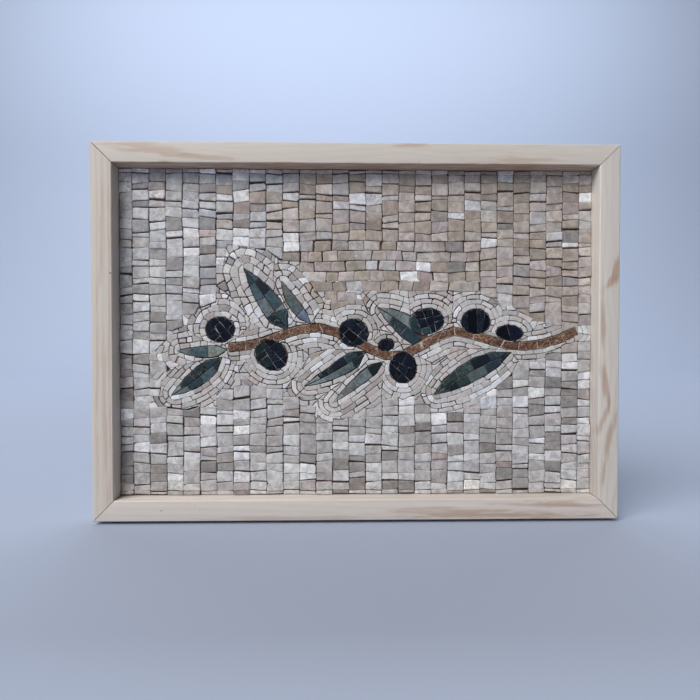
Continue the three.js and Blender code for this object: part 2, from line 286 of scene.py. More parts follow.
# This reddish colour paints the heartwood streaks and also the painted shade on the top rail's underside
HEARTWOOD_AND_SHADE = opaque(180, 148, 124)
SPECK = opaque(84, 64, 52)
ALL_DEPTHS = 1000
SPECK_HEIGHT = 0.7


def oval(wood, fray, at, size, turn):
    """How far a place is from the middle of an oval on the panel's face: 0 there, 1 at its edge"""
    sockets = {"Vector": wood.spot, "Location": (at[0] * MM, 0, at[1] * MM),
               "Rotation": (0, math.radians(turn), 0), "Scale": (size[0] * MM, ALL_DEPTHS, size[1] * MM)}
    placed = wood.add("Mapping", sockets, vector_type="TEXTURE").outputs[0]
    far = wood.add("VectorMath", {0: placed}, operation="LENGTH").outputs["Value"]
    return wood.math("ADD", far, fray)


def pine(name, pale, upright, axis, lean, rings, seed, streaks_and_shade, specks):
    """Pine whose grain runs up or across. pale is the colour of its early wood, axis the tree's middle in
    the rail's section, in metres, and rings how strong the growth rings are. Streaks and specks are
    placed in mm: the middle, the half size and for a streak its turn in degrees and its depth"""
    wood = Finish(name)
    x, deep, z = wood.add("SeparateXYZ", {0: wood.spot}).outputs
    along, across = (z, x) if upright else (x, z)
    bent = stretched(wood, along, across, deep, 9.0, 30.0, seed)
    strength = wood.between(wood.noise(bent, 0.8, 2.0), 0.3, 0.75, 0.25 * rings, rings)
    dark = wood.math("MULTIPLY", late_wood(wood, along, across, deep, bent, axis, lean), strength)
    colour = wood.mix(dark, opaque(*pale), LATE_WOOD)
    frayed = wood.noise(stretched(wood, along, across, deep, 45.0, 420.0, seed), 1.0, 4.0, 0.6)
    fray = wood.math("MULTIPLY_ADD", frayed, 2.4, -1.2)
    # Each entry gives the heartwood colour to an oval: mostly streaks in the wood, and on the top rail one
    # band of painted shade
    for at, size, turn, depth in streaks_and_shade:
        share = wood.between(oval(wood, fray, at, size, turn), 1.1, 0.2, 0.0, depth)
        colour = wood.mix(share, colour, HEARTWOOD_AND_SHADE)
    for at, size in specks:
        far = oval(wood, 0.0, at, (size, size * SPECK_HEIGHT), 0)
        colour = wood.mix(wood.between(far, 1.0, 0.5, 0.0, 0.85), colour, SPECK)
    fibre = wood.noise(stretched(wood, along, across, deep, 60.0, 2600.0, 0.0), 1.0, 4.0, 0.65)
    colour = wood.shaded(colour, wood.between(fibre, 0.25, 0.75, 0.94, 1.03))
    wood.set(wood.shader, {"Base Color": colour, "Roughness": wood.between(fibre, 0.2, 0.8, 0.5, 0.66),
                           "Specular IOR Level": 0.35})
    wood.bump(fibre, 0.25, 0.0001)
    return wood.material


# The colour of the heartwood streaks and of the painted shade under the top rail
print("heartwood:", [round(float(value), 2) for value in HEARTWOOD_AND_SHADE[:3]])

# %% Choose the pine of each rail
pine_finishes = {
    "top_rail": pine(
        "pine_top", pale=(211, 203, 193), upright=False, axis=(0.150, 0.012), lean=0.012, rings=0.22,
        seed=4.0, streaks_and_shade=[((-122, 107.5), (34, 4.2), 9, 0.5), ((-96, 103.5), (34, 2.2), 3, 0.45),
                           ((-140, 108), (14, 2.5), 12, 0.3), ((33, 111.5), (12, 1.8), 0, 0.5),
                           # The last entry is no streak: a band along the rail's inner edge that paints shade
                           # on its underside, in the heartwood colour
                           ((92, 102.5), (30, 2.8), -2, 0.45), ((0, 99.5), (400, 1.4), 0, 1)],
        specks=[((36, 101.5), 0.35), ((-70, 103), 0.25)]),
    "bottom_rail": pine(
        "pine_bottom", pale=(221, 212, 204), upright=False, axis=(-0.135, -0.004), lean=-0.03, rings=0.28,
        seed=11.0, streaks_and_shade=[((82, -109.2), (66, 3.2), 0.8, 0.7), ((118, -103.6), (40, 2.4), 1, 0.65),
                            ((-30, -110.8), (90, 1.5), 0, 0.35), ((40, -105.5), (26, 1.6), -1, 0.3)],
        specks=[((-117, -106), 0.6), ((-97, -102.5), 0.35), ((-15, -102.6), 0.35), ((-90, -102), 0.25)]),
    "left_rail": pine(
        "pine_left", pale=(209, 200, 190), upright=True, axis=(-0.185, -0.004), lean=0.006, rings=0.5,
        seed=23.0, streaks_and_shade=[((-151, 62), (1.7, 38), 1, 0.35), ((-149.5, -55), (1.8, 60), -1, 0.4),
                            ((-154, -20), (1.2, 70), 0.5, 0.3), ((-146.8, 0), (0.9, 130), 0, 0.35)],
        specks=[((-146, 35), 0.8), ((-144.6, 27.5), 0.35)]),
    "right_rail": pine(
        "pine_right", pale=(218, 211, 202), upright=True, axis=(0.172, 0.002), lean=0.03, rings=0.35,
        seed=37.0, streaks_and_shade=[((155.4, 38), (2.6, 12), 7, 0.75), ((152, 30.5), (2.4, 7), 42, 0.65),
                            ((147.8, 2), (1.8, 30), -1, 0.6), ((149, -31), (2.4, 19), -9, 0.65),
                            ((148.6, -51), (2.2, 13), 20, 0.6), ((152.2, -62), (2.6, 19), 15, 0.65),
                            ((148.4, -85), (2.0, 15), 9, 0.6)],
        specks=[((152, -72), 0.3), ((150.5, -84), 0.25)]),
}
print("pine finishes:", len(pine_finishes))

# %% [markdown]
# ## The rails
#
# Four lengths of planed pine meet in mitres. A planed edge is never quite sharp: a rub with sandpaper
# leaves a small round, which catches the light as a fine bright line. Each rail is a rounded section
# that is carried from one mitre to the other, and stands exactly where the packed rail stands.

# %% The planed section
ROUND = 0.7
ROUND_STEPS = 4
MITRE_ARRIS = 0.09
SECTION_POINTS = 4 * (ROUND_STEPS + 1)


def rounded_section(width, depth, shrink):
    """A rectangle with rounded corners, from (0, 0) to (width, depth), moved in by a little"""
    turn = ROUND - shrink
    middles = [(width - ROUND, depth - ROUND, 0), (ROUND, depth - ROUND, 90), (ROUND, ROUND, 180),
               (width - ROUND, ROUND, 270)]
    points = []
    for across, deep, start in middles:
        for i in range(ROUND_STEPS + 1):
            angle = math.radians(start + 90 * i / ROUND_STEPS)
            points.append((across + turn * math.cos(angle), deep + turn * math.sin(angle)))
    return np.array(points)


print("points of a section:", SECTION_POINTS)

# %% Build the rails
SMOOTH_BELOW = math.radians(40)


def corners_in_mm(name):
    """The low and the high corner of a node's box"""
    return [np.array(corner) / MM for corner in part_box(name)]


def build_rail(name):
    low, high = corners_in_mm(name)
    upright = name in ("left_rail", "right_rail")
    long_axis, face_axis = (2, 0) if upright else (0, 2)
    width = high[face_axis] - low[face_axis]
    depth = high[1] - low[1]
    outward = 1 if name in ("top_rail", "right_rail") else -1
    outer = high[face_axis] if outward > 0 else low[face_axis]
    points = []
    for end, shrink in ((-1, MITRE_ARRIS), (-1, 0), (1, 0), (1, MITRE_ARRIS)):
        for across, deep in rounded_section(width, depth, shrink):
            reach = (high[long_axis] - low[long_axis]) / 2 - across
            if not shrink:
                reach -= MITRE_ARRIS
            point = np.zeros(3)
            point[long_axis] = (high[long_axis] + low[long_axis]) / 2 + end * reach
            point[face_axis] = outer - outward * across
            point[1] = high[1] - deep
            points.append(point)
    count = SECTION_POINTS
    faces = [tuple(range(count))[::-1], tuple(range(3 * count, 4 * count))]
    for ring in range(3):
        for i in range(count):
            a, b = ring * count + i, ring * count + (i + 1) % count
            faces.append((a, b, b + count, a + count))
    if (outward > 0) == upright:
        faces = [face[::-1] for face in faces]
    made = new_object(name + "_planed", np.array(points) * MM, faces, pine_finishes[name])
    smooth = [len(face.vertices) == 4 for face in made.data.polygons]
    made.data.polygons.foreach_set("use_smooth", smooth)
    made.data.set_sharp_from_angle(angle=SMOOTH_BELOW)
    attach(made, "root")
    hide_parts(name)
    return made


rails = [build_rail(name) for name in pine_finishes]
print("rails:", [rail.name for rail in rails])

# %% [markdown]
# ## Reading the stones
#
# The packed ground is fused into blocks, but every stone still has its own face, a little higher or
# lower than the next. The edges that only one triangle uses are the borders of those faces, and
# chained end to end they give each stone's outline, in millimetres, as the panel is seen from in front.

# %% Helpers that measure outlines
FACING_FRONT = 0.99
ON_A_LINE = 0.03


def area(outline):
    x, z = outline[:, 0], outline[:, 1]
    return 0.5 * float(np.sum(x * np.roll(z, -1) - z * np.roll(x, -1)))


def straightened(outline):
    """The outline without the points that lie on a straight edge"""
    kept = []
    for before, here, after in zip(np.roll(outline, 1, 0), outline, np.roll(outline, -1, 0)):
        chord = after - before
        off = abs(chord[0] * (here - before)[1] - chord[1] * (here - before)[0])
        if off > ON_A_LINE * np.linalg.norm(chord):
            kept.append(here)
    return np.array(kept)


def front_triangles(name):
    """The corners of the triangles that a node shows to the front, in millimetres"""
    mesh = nodes[name].data
    mesh.calc_loop_triangles()
    spots = np.array([vertex.co for vertex in mesh.vertices]) / MM
    corners = spots[np.array([triangle.vertices[:] for triangle in mesh.loop_triangles])]
    facing = np.cross(corners[:, 1] - corners[:, 0], corners[:, 2] - corners[:, 0])
    return corners[facing[:, 1] < -FACING_FRONT * np.linalg.norm(facing, axis=1)]


print("triangles of the level rows:", len(front_triangles("level_rows")))

# %% Read outlines from the packed solids
LEAST_FACE = 3


def faces_of(name):
    """Every face that a node shows to the front, as (outline, distance out from the panel's back)"""
    edges = set()
    for triangle in np.round(front_triangles(name), 2):
        keys = [tuple(corner) for corner in triangle]
        for a, b in zip(keys, keys[1:] + keys[:1]):
            if (b, a) in edges:
                edges.remove((b, a))
            else:
                edges.add((a, b))
    following = dict(sorted(edges))
    outlines = []
    while following:
        start, spot = following.popitem()
        chain = [start]
        while spot != start and spot in following:
            chain.append(spot)
            spot = following.pop(spot)
        chain = np.array(chain)
        if len(chain) > 2:
            outline = straightened(chain[:, [0, 2]])
            if len(outline) > 2:
                outlines.append((outline, float(-chain[0, 1])))
    return outlines


ground_nodes = [name for name in sorted(nodes) if "ground" in name or "level" in name]
ground_faces = {name: [face for face in faces_of(name) if area(face[0]) > LEAST_FACE]
                for name in ground_nodes}
print("ground stones:", sum(len(faces) for faces in ground_faces.values()))

# %% [markdown]
# ## Cutting a stone
#
# Marble is cut with a hammer on a hardened edge, or with wheeled nippers. The cut is nearly straight,
# it wanders by up to a tenth of a millimetre, and corners lose a crumb. So each edge of an outline gets
# a few points that are moved a little, and each corner is cut off by chance, now and then by more.

# %% Helpers that shape an outline
CUT_STEP = 1.8
LEAST_CRUMB = 0.12
CRUMB_TIMES = [1, 2, 4]
CRUMB_SHARES = [0.74, 0.2, 0.06]
MOST_NIPPED = 0.3


def inward_of(outline):
    """The direction into the shape, for every edge"""
    along = np.roll(outline, -1, 0) - outline
    along = along / (np.linalg.norm(along, axis=1)[:, None] + 1e-9)
    return np.c_[-along[:, 1], along[:, 0]]


def inset(outline, distance):
    """The outline moved in by a distance on all sides"""
    inward = inward_of(outline)
    before = np.roll(inward, 1, 0)
    spread = 1 + np.sum(before * inward, axis=1)[:, None]
    return outline + distance * (before + inward) / np.maximum(spread, 0.5)


def hand_cut(outline, chance, wobble, crumb):
    """The outline as a hand-cut stone has it: corners nipped and edges not quite straight"""
    points = []
    total = len(outline)
    nips = chance.uniform(LEAST_CRUMB, crumb, (total, 2))
    nips = nips * chance.choice(CRUMB_TIMES, (total, 1), p=CRUMB_SHARES)
    for i in range(total):
        here, after = outline[i], outline[(i + 1) % total]
        edge = after - here
        length = float(np.linalg.norm(edge))
        if length < 1e-6:
            continue
        start = min(nips[i, 1], MOST_NIPPED * length) / length
        end = 1 - min(nips[(i + 1) % total, 0], MOST_NIPPED * length) / length
        steps = max(1, round(length * (end - start) / CUT_STEP))
        aside = np.array([-edge[1], edge[0]]) / length
        for k in range(steps + 1):
            share = start + (end - start) * k / steps
            off = chance.normal(0, wobble) if 0 < k < steps else 0
            points.append(here + edge * share + aside * off)
    return np.array(points)


square = np.array([(0, 0), (10, 0), (10, 10), (0, 10)], float)
print("a square of 10 mm keeps", round(area(inset(square, 0.1)), 1), "square mm with 0.1 mm off all round")

# %% [markdown]
# A stone is built from its outline in rings: a lower one in the adhesive, one at the rim, one just
# inside it for the worn rim, and one round its flat top. The top leans by a degree or two, because each
# stone is pressed in by hand, and that small lean is what makes neighbours of one marble look lighter
# or darker. The colour is painted on the points, so one material serves all the stones of a piece.

# %% A tray that collects single stones
SINK = 3.6
WEAR = (0.7, 1.3)
RIM_DROP = 1.1
WORN_DROP = 0.3
TOP_SHARE = 0.8


class Tray:
    """Stones of one kind, collected until they are made into one piece"""

    def __init__(self):
        self.points, self.faces, self.paint, self.count, self.total = [], [], [], 0, 0

    def set_stone(self, outline, out, colour, chance, lean, arris, wobble, crumb):
        """One stone whose top is out from the panel's back, worn by arris at its rim"""
        rim = hand_cut(outline, chance, wobble, crumb)
        middle = rim.mean(0)
        slope = chance.normal(0, lean, 2)
        worn = arris * chance.uniform(*WEAR, (len(rim), 1))
        top = middle + (inset(rim, arris) - middle) * TOP_SHARE
        rings = ((rim, -SINK), (rim, -RIM_DROP * arris),
                 (inset(rim, 1) * worn + rim * (1 - worn), -WORN_DROP * arris), (top, 0.0))
        for ring, rise in rings:
            height = out + (ring - middle) @ slope + rise
            self.points.append(np.c_[ring[:, 0], -height, ring[:, 1]])
        count, first, steps = len(rim), self.total, len(rings)
        for ring in range(steps - 1):
            start = first + ring * count
            self.faces += [(start + i, start + (i + 1) % count, start + count + (i + 1) % count,
                            start + count + i) for i in range(count)]
        self.faces.append(tuple(range(first + (steps - 1) * count, first + steps * count)))
        self.faces.append(tuple(range(first, first + count))[::-1])
        self.paint.append(np.tile([*colour, chance.random()], (steps * count, 1)))
        self.total += steps * count
        self.count += 1

    def piece(self, name, material, replaced):
        made = new_object(name, np.concatenate(self.points) * MM, self.faces, material)
        paint = made.data.attributes.new("stone", "FLOAT_COLOR", "POINT")
        paint.data.foreach_set("color", np.concatenate(self.paint).astype(np.float32).ravel())
        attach(made, "root")
        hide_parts(*replaced)
        print(name, "has", self.count, "stones")
        return made


print("a stone reaches", SINK, "mm down from its top")

# %% [markdown]
# ## Marble
#
# Each stone carries its own colour and its own number from 0 to 1, painted on its points. The finish
# starts from that colour and adds what the marble has inside: clouds a few millimetres wide, a fine
# crystal grain, and here and there a vein. The stone's number moves the pattern, so no cloud runs
# from one stone into the next, and decides which stones have veins at all.

# %% Make the marble finishes
VEIN_STRENGTH = 0.55
GLOSS_SPREAD = 0.07
OWN_PLACE = (7.0, 3.0, 11.0)


def marble(name, clouds, grain, veins, vein_colour, roughness, relief, cloud_size, sheen):
    """clouds and grain are how far the colour varies, veins the share of stones that have one"""
    stone = Finish(name)
    paint = stone.add("Attribute", {}, attribute_name="stone").outputs
    number = paint["Alpha"]
    shift = stone.place(*(stone.math("MULTIPLY", number, far) for far in OWN_PLACE))
    own = stone.add("VectorMath", {0: stone.spot, 1: shift}, operation="ADD").outputs[0]
    cloud = stone.between(stone.noise(own, cloud_size, 3.0, 0.6, 0.6), 0.3, 0.7, 1 - clouds, 1 + clouds)
    crystal = stone.between(stone.noise(own, 2200.0, 2.0, 0.6), 0.3, 0.7, 1 - grain, 1 + grain)
    colour = stone.shaded(paint["Color"], stone.math("MULTIPLY", cloud, crystal))
    line = stone.math("ABSOLUTE", stone.math("SUBTRACT", stone.noise(own, 170.0, 4.0, 0.62, 1.2), 0.5))
    thin = stone.between(line, 0.022, 0.004)
    lot = stone.math("FRACT", stone.math("MULTIPLY", number, 17.0))
    veined = stone.math("MULTIPLY", thin, stone.between(lot, 1 - veins, 1.02 - veins))
    colour = stone.mix(stone.math("MULTIPLY", veined, VEIN_STRENGTH), colour, opaque(*vein_colour))
    rough = stone.between(stone.noise(own, 700.0, 2.0), 0.3, 0.7, roughness - GLOSS_SPREAD,
                          roughness + GLOSS_SPREAD)
    stone.set(stone.shader, {"Base Color": colour, "Roughness": rough, "Specular IOR Level": sheen})
    stone.bump(stone.noise(own, 900.0, 4.0, 0.65), relief, 0.00012)
    return stone.material


ground_marble = marble("ground_marble", clouds=0.24, grain=0.06, veins=0.34, vein_colour=(132, 104, 90),
                       roughness=0.55, relief=0.9, cloud_size=230.0, sheen=0.4)
outline_marble = marble("outline_marble", clouds=0.12, grain=0.04, veins=0.14, vein_colour=(172, 144, 132),
                        roughness=0.5, relief=0.8, cloud_size=330.0, sheen=0.4)
olive_marble = marble("olive_marble", clouds=0.35, grain=0.25, veins=0.3, vein_colour=(62, 70, 78),
                      roughness=0.42, relief=0.4, cloud_size=330.0, sheen=0.12)
leaf_marble = marble("leaf_marble", clouds=0.3, grain=0.18, veins=0.4, vein_colour=(120, 134, 126),
                     roughness=0.45, relief=0.5, cloud_size=420.0, sheen=0.25)
print("marbles:", [finish.name for finish in (ground_marble, outline_marble, olive_marble, leaf_marble)])

# %% [markdown]
# ## The ground
#
# The ground is cut from strips of about ten millimetres, in cool greys and whites on the upper left,
# warmer tan and beige towards the upper right, and pale grey with some darker and some white stones
# below. A maker works from mixed heaps like that, picking without a plan, so the colour of each stone
# is drawn by chance from a heap, and the share of each heap changes smoothly over the panel.

# %% Choose colours for the ground
UPPER = (-22, 12)
WARMER = (-108, -2)
# How light stones are beside their marble, on average, and how much that varies
GROUND_LIGHT = (1.06, 0.078)
HUE_SPREAD = 0.007


def heap_of(*colours):
    return [linear(*colour) for colour in colours]


COOL = heap_of((170, 170, 171), (185, 184, 185), (154, 152, 152), (195, 194, 193), (175, 172, 169))
WARM = heap_of((175, 164, 155), (167, 155, 143), (185, 176, 169), (177, 167, 163), (161, 149, 138))
LIGHT = heap_of((195, 193, 193), (188, 185, 183), (182, 177, 175), (202, 201, 201), (175, 171, 169))
DARK = heap_of((150, 146, 144), (142, 136, 133), (158, 152, 148))
RUST = heap_of((172, 161, 156), (167, 155, 148), (165, 151, 147))
WHITE = heap_of((222, 221, 222), (214, 214, 217), (226, 224, 221))


def ease(value, low, high):
    share = min(1, max(0, (value - low) / (high - low)))
    return share * share * (3 - 2 * share)


def picked(heap, light, chance):
    """The colour of one stone from a heap, a little lighter or darker than its marble"""
    colour = heap[chance.choice(len(heap))]
    return np.clip(colour * chance.normal(*light) * chance.normal(1, HUE_SPREAD, 3), 0, 1)


def ground_colour(x, z, chance):
    upper = ease(z, *UPPER)
    warmth = upper * ease(x, *WARMER)
    heaps = [
        (COOL, upper * (1 - warmth)),
        (WARM, 0.95 * warmth),
        (LIGHT, 0.75 * (1 - upper) + 0.35 * upper * (1 - warmth) + 0.15 * warmth),
        (DARK, 0.14 * (1 - upper) + 0.15 * upper * (1 - warmth) + 0.06 * warmth),
        (RUST, 0.01 + 0.03 * warmth),
        (WHITE, 0.1 * (1 - upper) + 0.14 * upper * (1 - warmth) + 0.03 * warmth),
    ]
    shares = np.array([share for _, share in heaps])
    heap = heaps[chance.choice(len(heaps), p=shares / shares.sum())][0]
    return picked(heap, GROUND_LIGHT, chance)


print("marbles in the heaps:", [len(heap) for heap in (COOL, WARM, LIGHT, DARK, RUST, WHITE)])

# %% [markdown]
# ## Rows that wander
#
# Nobody sets hundreds of stones by eye in straight rows. The rows and columns wander by up to a
# millimetre, slowly, so that neighbours still fit. Beside the rails and beside the sprig they are held,
# so the way to the nearest part of the sprig is needed: its borders are walked in small steps, and all
# the steps go into a tree that finds the nearest one quickly.

# %% Walk round every part of the sprig
WALK_STEP = 0.3
CORNER_SHARE = 0.22


def outline_of(name):
    """The largest front face of a node, and how far out from the panel's back it is"""
    return max(faces_of(name), key=lambda face: area(face[0]))


def softened(outline, share=CORNER_SHARE):
    """The outline with each corner cut once, so that a drawn oval isn't a polygon"""
    after = np.roll(outline, -1, 0)
    pairs = np.stack([outline * (1 - share) + after * share, outline * share + after * (1 - share)], 1)
    return pairs.reshape(-1, 2)


def walked(outline):
    """Points along a closed outline, each with the distance walked and the direction that faces out"""
    places, walks, turns, total, heading = [], [], [], 0.0, None
    for a, b in zip(outline, np.roll(outline, -1, 0)):
        edge = b - a
        length = float(np.linalg.norm(edge))
        angle = math.atan2(-edge[0], edge[1])
        if heading is not None:
            while angle < heading - math.pi:
                angle += 2 * math.pi
            while angle > heading + math.pi:
                angle -= 2 * math.pi
        heading = angle
        count = max(1, round(length / WALK_STEP))
        for k in range(count):
            places.append(a + edge * (k + 0.5) / count)
            walks.append(total + length * (k + 0.5) / count)
            turns.append(angle)
        total += length
    return places, walks, turns


figures = [name for name in sorted(nodes) if name.startswith(("olive", "leaf", "branch"))]
figure_faces = {name: outline_of(name) for name in figures}
owners = []
for number, name in enumerate(figures):
    for place, step, turn in zip(*walked(softened(figure_faces[name][0]))):
        owners.append((number, step, turn, *place))
owners = np.array(owners)
tree = KDTree(len(owners))
for i, (x, z) in enumerate(owners[:, 3:]):
    tree.insert((x, z, 0), i)
tree.balance()
print("parts of the sprig:", len(figures), "points round them:", len(owners))

# %% Let the rows wander
OPENING = (145, 100)
HELD_BY_RAIL = 12
HELD_BY_SPRIG = (3, 14)
# Waves as (how far, how long, which), in millimetres
SIDEWAYS = ((0.3, 12, 8), (0.15, 4.5, 3))
UPWARD = ((0.75, 14, 4), (0.35, 5, 6))


def ripple(x, z, size, seed):
    """A smooth wave over the panel, from -1 to 1"""
    a = np.sin(x / size + 1.7 * seed) * np.cos(z / (0.8 * size) - seed)
    b = np.sin((x * 0.6 + z * 0.8) / (0.55 * size) + 2.3 * seed)
    return 0.6 * a + 0.4 * b


def ripples(x, z, waves, level=0):
    """Several waves, one on the other"""
    return sum((far * ripple(x, z, size, seed) for far, size, seed in waves), level)


def to_sprig(x, z):
    """How far a place is from the nearest part of the sprig"""
    return tree.find((x, z, 0))[2]


def drift(points):
    """Where points come to lie when the rows wander"""
    x, z = points[:, 0], points[:, 1]
    to_rail = np.minimum(OPENING[0] - abs(x), OPENING[1] - abs(z))
    near, free = HELD_BY_SPRIG
    apart = np.array([to_sprig(a, b) for a, b in points])
    share = np.clip(to_rail / HELD_BY_RAIL, 0, 1) * np.clip((apart - near) / (free - near), 0, 1)
    return points + np.c_[ripples(x, z, SIDEWAYS), ripples(x, z, UPWARD)] * share[:, None]


print("a corner at (100, 60) comes to lie at", drift(np.array([(100.0, 60.0)])).round(2)[0])

# %% [markdown]
# ## Setting the ground
#
# Columns are set close at the sides and less so at the ends, where a stone is broken off by eye: the
# joints there are wedges, and now and then a corner is missing. Where the pale stones round the sprig
# meet the ground, the smallest remnants of ground stones are left out here and set in pale stone later.

# %% Helpers that loosen a stone
CLOSE_JOINT = (-0.12, 0.12)
LOOSE_JOINT = (-0.02, 0.85)
LOOSE_FAVOUR = 3.2
CORNER_SLIP = (0.09, 0.16)
MOST_SLIP = 0.05
SIDE_SLIP = 0.12
TWIST = 1.2
NEARLY_STRAIGHT = 0.25


def moved_in(outline, distances):
    """The outline with every edge moved in by its own distance"""
    inward = inward_of(outline)
    points = []
    for i in range(len(outline)):
        one, two = inward[i - 1], inward[i]
        turn = one[0] * two[1] - one[1] * two[0]
        if abs(turn) < NEARLY_STRAIGHT:
            points.append(outline[i] + (one * distances[i - 1] + two * distances[i]) / 2)
        else:
            points.append(outline[i] + np.linalg.solve([one, two], [distances[i - 1], distances[i]]))
    return np.array(points)


def joints(limits, favour, chance, count=None):
    """Widths between two limits. The higher favour is, the more of them are narrow"""
    return limits[0] + (limits[1] - limits[0]) * chance.random(count) ** favour


def loosened(outline, level, chance):
    """A stone's outline as it is cut by eye. level says that its row runs across, not up"""
    edge = np.roll(outline, -1, 0) - outline
    close = (abs(edge[:, 1]) > abs(edge[:, 0])) != level
    wedge = joints(LOOSE_JOINT, LOOSE_FAVOUR, chance, len(edge))
    gaps = np.where(close, chance.uniform(*CLOSE_JOINT, len(edge)), wedge)
    slip = np.minimum(CORNER_SLIP, MOST_SLIP * math.sqrt(area(outline)))
    cut_by_eye = moved_in(outline, gaps) + chance.uniform(-slip, slip, outline.shape)
    middle = cut_by_eye.mean(0)
    twist = math.radians(chance.normal(0, TWIST))
    turn = np.array([[math.cos(twist), math.sin(twist)], [-math.sin(twist), math.cos(twist)]])
    return middle + (cut_by_eye - middle) @ turn + (chance.uniform(-SIDE_SLIP, SIDE_SLIP), 0)


print("joints at the sides:", CLOSE_JOINT, "mm, and at the ends:", LOOSE_JOINT, "mm")

# %% Set the ground stones
REMNANT = 42
NEAR_SPRIG = 20
NARROWEST = 2.6
LEAST_FILLED = 0.86
GROUND_RISE = (-0.38, 0.34)
GROUND_CUT = {"lean": 0.036, "arris": 0.26, "wobble": 0.05, "crumb": 0.32}


def is_whole(outline):
    """Whether a ground stone has all four corners, so nothing of the sprig's field cuts into it"""
    size = np.ptp(outline, axis=0)
    return len(outline) == 4 and min(size) > NARROWEST and area(outline) > LEAST_FILLED * size[0] * size[1]


chance = np.random.default_rng(58)
remnants = []
for name, faces in ground_faces.items():
    tray = Tray()
    for outline, out in sorted(faces, key=lambda face: tuple(face[0].mean(0))):
        x, z = outline.mean(0)
        if to_sprig(x, z) < NEAR_SPRIG and area(outline) < REMNANT and not is_whole(outline):
            remnants.append(outline)
            continue
        stone = drift(loosened(outline, name == "level_rows", chance))
        top = out + chance.uniform(*GROUND_RISE)
        tray.set_stone(stone, top, ground_colour(x, z, chance), chance, **GROUND_CUT)
    tray.piece(name + "_stones", ground_marble, [name])
print("remnants:", len(remnants))

# %% [markdown]
# ## Olives
#
# Each olive is a small oval of blue-black marble, set from a few cut pieces. The joints between them
# are filled with pale adhesive and show as fine light lines. The oval is cut into strips, and each
# strip into stones, with every cut a little off, as nippers leave it.

# %% Helpers that divide a shape
CUT_SHIFT = 0.24
CUT_TURN = 6
LEAST_PART = 1.2


def cut(outline, at, away):
    """What is left of a stone after one straight cut through a point, on the side away from away"""
    kept = []
    side = (outline - at) @ away
    for i in range(len(outline)):
        j = (i + 1) % len(outline)
        if side[i] <= 0:
            kept.append(outline[i])
        if side[i] * side[j] < 0:
            share = side[i] / (side[i] - side[j])
            kept.append(outline[i] + (outline[j] - outline[i]) * share)
    return np.array(kept) if len(kept) > 2 else np.zeros((0, 2))


def turned(direction, degrees):
    radians = math.radians(degrees)
    return np.array([direction[0] * math.cos(radians) - direction[1] * math.sin(radians),
                     direction[0] * math.sin(radians) + direction[1] * math.cos(radians)])


def strips(outline, turn, spacing, fan, chance):
    """A shape divided by cuts that are nearly parallel"""
    across = turned((1, 0), turn)
    reach = outline @ across
    count = max(1, round((reach.max() - reach.min()) / spacing))
    step = (reach.max() - reach.min()) / count
    middle = outline.mean(0)
    parts, rest = [], outline
    for k in range(1, count):
        place = reach.min() + (k + chance.uniform(-CUT_SHIFT, CUT_SHIFT)) * step
        away = turned(across, fan * (k - count / 2) + chance.normal(0, CUT_TURN))
        at = middle + across * (place - middle @ across)
        if len(rest):
            parts.append(cut(rest, at, away))
            rest = cut(rest, at, -away)
    return [part for part in parts + [rest] if len(part) and area(part) > LEAST_PART]


print("half of the square:", round(area(cut(square, np.array([5, 5]), np.array([1, 0]))), 1), "square mm")

# %% Divide and set the olives
# Each olive's cuts: the turn of the first ones in degrees, their spacing, the spacing of the cross cuts,
# and how much each cut fans out from the last in degrees
OLIVE_CUTS = {
    "olive_1": (38, 5.0, 5.2, 0), "olive_2": (32, 5.2, 4.8, 3), "olive_3": (45, 4.8, 5.0, 0),
    "olive_4": (-20, 5.4, 12.0, 0), "olive_5": (62, 5.6, 6.4, 8), "olive_6": (24, 4.8, 5.2, -4),
    "olive_7": (0, 4.2, 16.0, -9), "olive_8": (12, 6.6, 14.0, 5),
}
OLIVE_COLOURS = heap_of((16, 20, 32), (20, 24, 38), (13, 16, 24), (20, 28, 40))
# Olives with one greener end: the direction of that end, and its colour
GREEN_ENDS = {"olive_6": ((-0.6, -0.8), linear(46, 66, 70)), "olive_2": ((-1, 0), linear(28, 38, 40))}
GREEN_FROM = 2.6
OLIVE_LIGHT = (0.85, 1.25)
GREEN_LIGHT = (0.8, 1.2)
HAIR_JOINT = (0.03, 0.15)
SPRIG_RISE = (-0.12, 0.12)
OLIVE_CUT = {"lean": 0.02, "arris": 0.13, "wobble": 0.03, "crumb": 0.2}

chance = np.random.default_rng(5)
for name, (turn, first, second, fan) in OLIVE_CUTS.items():
    outline, out = figure_faces[name]
    tray = Tray()
    for strip in strips(softened(outline), turn, first, fan, chance):
        for stone in strips(strip, turn + 90, second, 0, chance):
            colour = OLIVE_COLOURS[chance.choice(len(OLIVE_COLOURS))] * chance.uniform(*OLIVE_LIGHT)
            end, green = GREEN_ENDS.get(name, ((0, 0), None))
            if (stone.mean(0) - outline.mean(0)) @ end > GREEN_FROM:
                colour = green * chance.uniform(*GREEN_LIGHT)
            stone = inset(stone, chance.uniform(*HAIR_JOINT))
            tray.set_stone(stone, out + chance.uniform(*SPRIG_RISE), colour, chance, **OLIVE_CUT)
    tray.piece(name + "_stones", olive_marble, [name])

# %% [markdown]
# ## Leaves
#
# A wide leaf is set in two rows along its midrib, and a narrow one in a single row. Each row is cut
# across into stones, from the tip to the base, and the greens run from pale sage to nearly black. The
# cuts are listed for each row as shares of its length, with the marble of each stone between them.

# %% List the stones of the leaves
GREENS = {
    "teal": (42, 60, 68), "slate": (42, 54, 64), "grey": (102, 112, 115), "deep": (24, 35, 43),
    "green": (44, 57, 58), "drab": (109, 111, 108), "violet": (100, 111, 136), "sage": (138, 146, 140),
    "mist": (132, 140, 139), "navy": (22, 30, 42), "moss": (80, 92, 94), "steel": (68, 86, 94),
}
